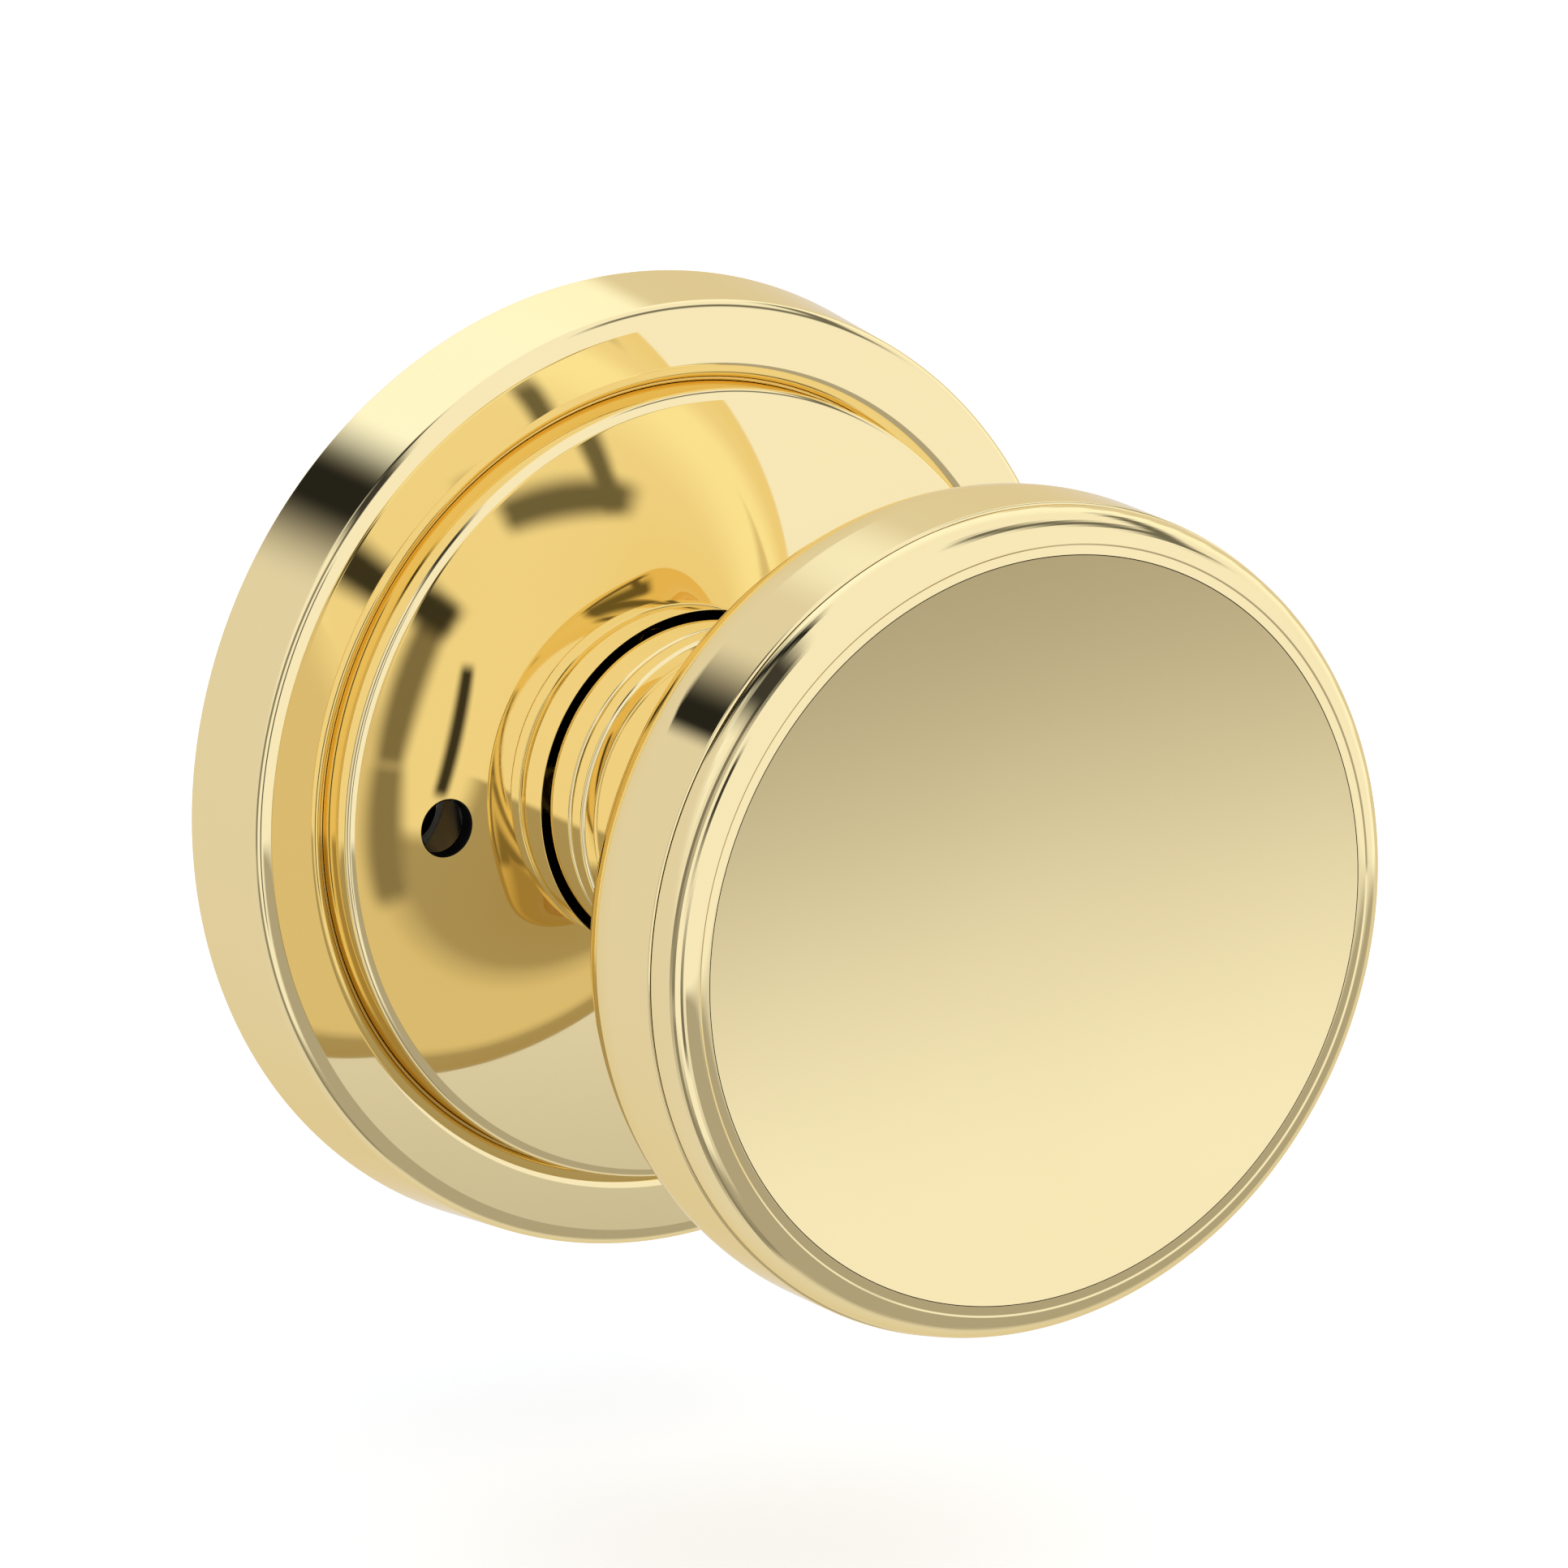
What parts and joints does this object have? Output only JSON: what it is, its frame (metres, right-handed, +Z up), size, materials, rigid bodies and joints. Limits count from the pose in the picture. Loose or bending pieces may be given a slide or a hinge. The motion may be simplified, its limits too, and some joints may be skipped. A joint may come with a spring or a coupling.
{
  "type": "door knob",
  "caption": "Round mushroom door knob on a round two-step rosette with an emergency release hole; sprung spindle drive and bolt posts behind the plate.",
  "frame": {"origin": "on the knob's axis, in the plane of the door's face", "axes": "-Y out of the door along the knob's axis, +Z up, +X to the right seen from the room"},
  "size_m": [0.068, 0.0918, 0.068],
  "materials": {
    "polished_brass": "mirror polished and lacquered pale brass",
    "die_cast_zinc": "as cast zinc alloy, dull grey",
    "zinc_plated_steel": "bright zinc plated steel",
    "spring_steel": "oiled spring steel",
    "white_nylon": "moulded natural nylon",
    "black_acetal": "moulded black acetal"
  },
  "bodies": {
    "fixed": {"rosette_cover": "polished_brass", "mounting_plate": "zinc_plated_steel", "bolt_post_top": "zinc_plated_steel", "bolt_post_bottom": "zinc_plated_steel", "spring_housing": "die_cast_zinc", "housing_screw_1": "zinc_plated_steel", "housing_screw_2": "zinc_plated_steel", "housing_screw_3": "zinc_plated_steel", "return_spring": "spring_steel", "neck_bushing": "white_nylon", "release_guide": "white_nylon", "release_spring": "spring_steel"},
    "knob": {"knob_back_shell": "polished_brass", "knob_face_cap": "polished_brass", "knob_core": "die_cast_zinc", "core_screw": "zinc_plated_steel", "knob_shank": "die_cast_zinc", "neck_collar": "polished_brass", "thrust_washer": "zinc_plated_steel", "drive_cam": "zinc_plated_steel", "rear_washer": "spring_steel", "retaining_ring": "spring_steel", "spindle": "zinc_plated_steel", "spindle_pin": "zinc_plated_steel"},
    "release": {"release_plunger": "black_acetal", "plunger_clip": "spring_steel"}
  },
  "joints": [
    {"name": "knob_turn", "type": "hinge", "parent": "fixed", "child": "knob", "pos_m": [0, 0, 0], "axis": [0, 1, 0], "range_deg": [-50, 50], "stiffness_Nm_per_rad": 0.5, "deforming": ["return_spring"]},
    {"name": "release_press", "type": "slide", "parent": "fixed", "child": "release", "axis": [0, 1, 0], "range_m": [0, 0.003], "stiffness_N_per_m": 300, "deforming": ["release_spring"]}
  ]
}
